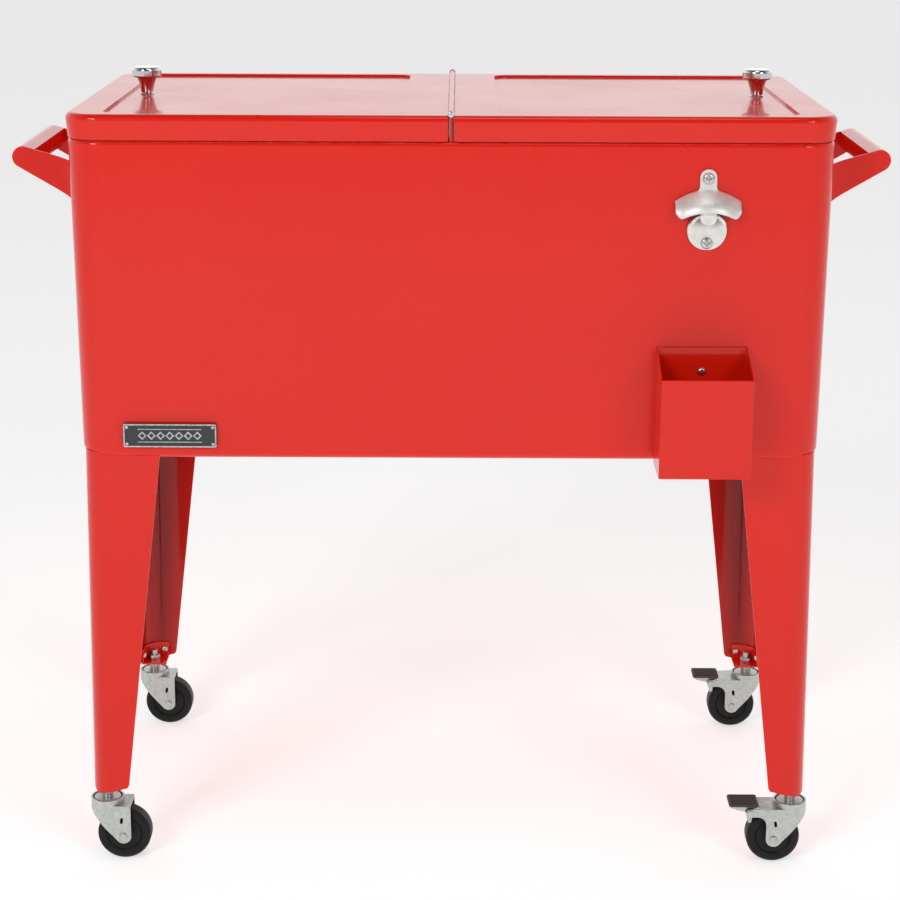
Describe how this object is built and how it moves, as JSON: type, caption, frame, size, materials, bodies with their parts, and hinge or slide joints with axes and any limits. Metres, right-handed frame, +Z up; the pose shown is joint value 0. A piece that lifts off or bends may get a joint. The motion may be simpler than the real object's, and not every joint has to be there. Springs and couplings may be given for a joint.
{
  "type": "rolling patio cooler",
  "caption": "Insulated steel tub with a split hinged lid, side handles, a bottle opener and cap bin, on tall legs with swivel casters.",
  "frame": {"origin": "on the floor, under the middle of the whole object's box", "axes": "+X along the front to the right, +Y to the back, +Z up"},
  "size_m": [0.9266, 0.489, 0.839],
  "materials": {
    "red_paint": "gloss powder coat",
    "white_plastic": "smooth",
    "foam": "rigid foam",
    "chrome": "polished",
    "screw_steel": "bright zinc",
    "zinc_steel": "zinc plated",
    "wheel_rubber": "hard rubber",
    "pedal_plastic": "ribbed",
    "cast_metal": "satin plated casting",
    "plate_metal": "darkened relief",
    "drain_plastic": "moulded"
  },
  "bodies": {
    "tub": {"bottle_opener": "cast_metal", "bracket_bolts": "screw_steel", "cap_catcher": "red_paint", "caster_bracket_front_left": "red_paint", "caster_bracket_front_right": "red_paint", "caster_bracket_rear_left": "red_paint", "caster_bracket_rear_right": "red_paint", "caster_stem_front_left": "zinc_steel", "caster_stem_front_right": "zinc_steel", "caster_stem_rear_left": "zinc_steel", "caster_stem_rear_right": "zinc_steel", "catcher_screw": "screw_steel", "centre_bar": "red_paint", "drain_nut": "drain_plastic", "drain_spout": "drain_plastic", "handle_left": "red_paint", "handle_right": "red_paint", "handle_screws": "screw_steel", "hinge_pin": "chrome", "leg_bolts": "screw_steel", "leg_front_left": "red_paint", "leg_front_right": "red_paint", "leg_rear_left": "red_paint", "leg_rear_right": "red_paint", "nameplate": "plate_metal", "nameplate_rivets": "plate_metal", "opener_screws": "screw_steel", "stem_nuts": "screw_steel", "tub_insulation": "foam", "tub_liner": "white_plastic", "tub_shell": "red_paint"},
    "lid_left": {"lid_shell_left": "red_paint", "lid_hinge_left": "red_paint", "lid_liner_left": "white_plastic", "lid_insulation_left": "foam", "lid_knob_left": "chrome", "knob_screw_left": "screw_steel"},
    "lid_right": {"lid_shell_right": "red_paint", "lid_hinge_right": "red_paint", "lid_liner_right": "white_plastic", "lid_insulation_right": "foam", "lid_knob_right": "chrome", "knob_screw_right": "screw_steel"},
    "drain_plug": {"drain_plug": "drain_plastic"},
    "swivel_front_left": {"caster_fork_front_left": "zinc_steel", "wheel_axle_front_left": "zinc_steel"},
    "wheel_front_left": {"wheel_front_left": "wheel_rubber"},
    "swivel_front_right": {"caster_fork_front_right": "zinc_steel", "wheel_axle_front_right": "zinc_steel"},
    "wheel_front_right": {"wheel_front_right": "wheel_rubber"},
    "swivel_rear_left": {"caster_fork_rear_left": "zinc_steel", "wheel_axle_rear_left": "zinc_steel"},
    "wheel_rear_left": {"wheel_rear_left": "wheel_rubber"},
    "swivel_rear_right": {"caster_fork_rear_right": "zinc_steel", "wheel_axle_rear_right": "zinc_steel"},
    "wheel_rear_right": {"wheel_rear_right": "wheel_rubber"},
    "brake_front": {"brake_lever_front": "zinc_steel", "brake_pedal_front": "pedal_plastic"},
    "brake_rear": {"brake_lever_rear": "zinc_steel", "brake_pedal_rear": "pedal_plastic"}
  },
  "joints": [
    {"name": "lid_left_hinge", "type": "hinge", "parent": "tub", "child": "lid_left", "pos_m": [0, 0.02998, 0.8135], "axis": [0, 1, 0], "range_deg": [0, 84]},
    {"name": "lid_right_hinge", "type": "hinge", "parent": "tub", "child": "lid_right", "pos_m": [0, 0.02998, 0.8135], "axis": [0, -1, 0], "range_deg": [0, 84]},
    {"name": "swivel_front_left_turn", "type": "hinge", "parent": "tub", "child": "swivel_front_left", "pos_m": [-0.372, -0.16302, 0.064], "axis": [0, 0, 1], "continuous": true},
    {"name": "wheel_front_left_roll", "type": "hinge", "parent": "swivel_front_left", "child": "wheel_front_left", "pos_m": [-0.354, -0.16302, 0.029], "axis": [0, 1, 0], "continuous": true},
    {"name": "swivel_front_right_turn", "type": "hinge", "parent": "tub", "child": "swivel_front_right", "pos_m": [0.372, -0.16302, 0.064], "axis": [0, 0, 1], "continuous": true},
    {"name": "wheel_front_right_roll", "type": "hinge", "parent": "swivel_front_right", "child": "wheel_front_right", "pos_m": [0.354, -0.16302, 0.029], "axis": [0, 1, 0], "continuous": true},
    {"name": "swivel_rear_left_turn", "type": "hinge", "parent": "tub", "child": "swivel_rear_left", "pos_m": [-0.372, 0.22298, 0.064], "axis": [0, 0, 1], "continuous": true},
    {"name": "wheel_rear_left_roll", "type": "hinge", "parent": "swivel_rear_left", "child": "wheel_rear_left", "pos_m": [-0.354, 0.22298, 0.029], "axis": [0, 1, 0], "continuous": true},
    {"name": "swivel_rear_right_turn", "type": "hinge", "parent": "tub", "child": "swivel_rear_right", "pos_m": [0.372, 0.22298, 0.064], "axis": [0, 0, 1], "continuous": true},
    {"name": "wheel_rear_right_roll", "type": "hinge", "parent": "swivel_rear_right", "child": "wheel_rear_right", "pos_m": [0.354, 0.22298, 0.029], "axis": [0, 1, 0], "continuous": true},
    {"name": "brake_front_press", "type": "hinge", "parent": "swivel_front_right", "child": "brake_front", "pos_m": [0.3275, -0.16302, 0.0595], "axis": [0, -1, 0], "range_deg": [0, 9]},
    {"name": "brake_rear_press", "type": "hinge", "parent": "swivel_rear_right", "child": "brake_rear", "pos_m": [0.3275, 0.22298, 0.0595], "axis": [0, -1, 0], "range_deg": [0, 9]},
    {"name": "drain_plug_pull", "type": "slide", "parent": "tub", "child": "drain_plug", "axis": [0, 0, -1], "range_m": [0, 0.03]}
  ]
}
